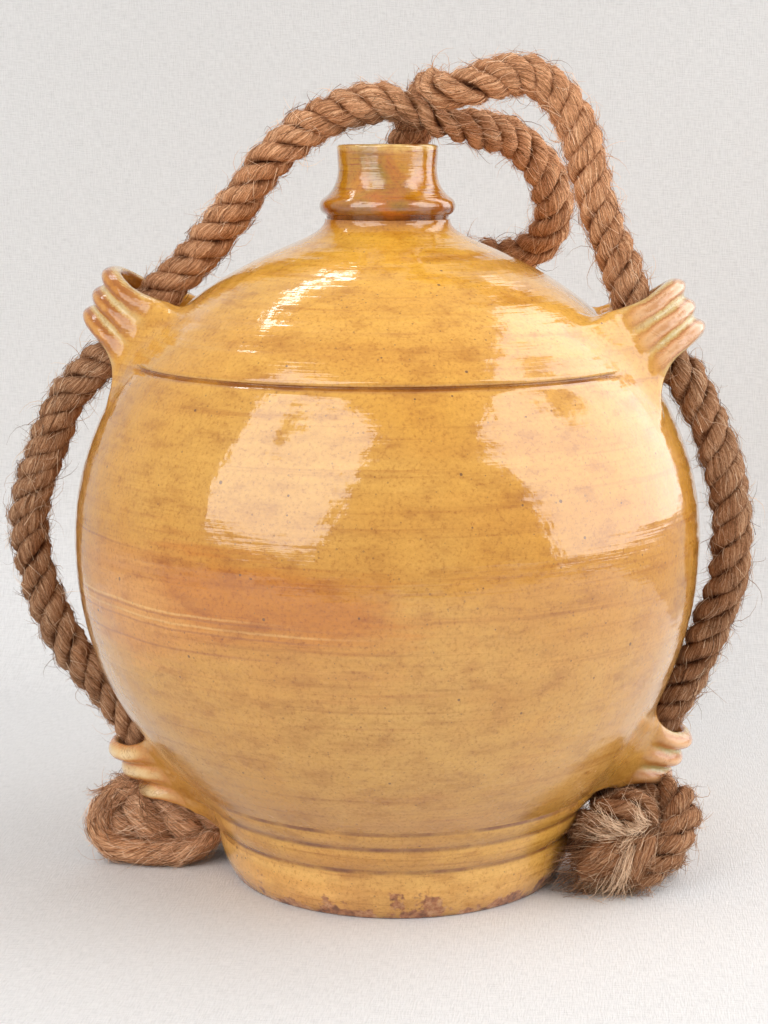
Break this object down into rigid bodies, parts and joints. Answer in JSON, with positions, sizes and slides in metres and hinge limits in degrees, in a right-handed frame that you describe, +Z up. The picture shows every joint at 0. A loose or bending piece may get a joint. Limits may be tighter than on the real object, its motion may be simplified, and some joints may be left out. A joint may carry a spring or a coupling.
{
  "type": "jug with rope handle",
  "caption": "Round glazed earthenware jug with a narrow collared neck, ribbed strap lugs and a thick coir rope handle knotted below the lower lugs.",
  "frame": {"origin": "centre of the foot's underside, on the ground", "axes": "+Z up along the axis of the vessel, +X towards the right-hand lugs, -Y towards the viewer"},
  "size_m": [0.3736, 0.31, 0.4051],
  "materials": {
    "honey_glaze": "gloss",
    "amber_glaze": "gloss",
    "lug_glaze": "gloss",
    "foot_glaze": "satin",
    "coir": "matte"
  },
  "bodies": {
    "root": {"foot_ring": "foot_glaze", "bowl": "honey_glaze", "shoulder": "honey_glaze", "neck": "amber_glaze", "lug_upper_left": "lug_glaze", "lug_upper_right": "lug_glaze", "lug_lower_left": "lug_glaze", "lug_lower_right": "lug_glaze", "rope": "coir", "knot_left": "coir", "knot_right": "coir"}
  },
  "joints": []
}
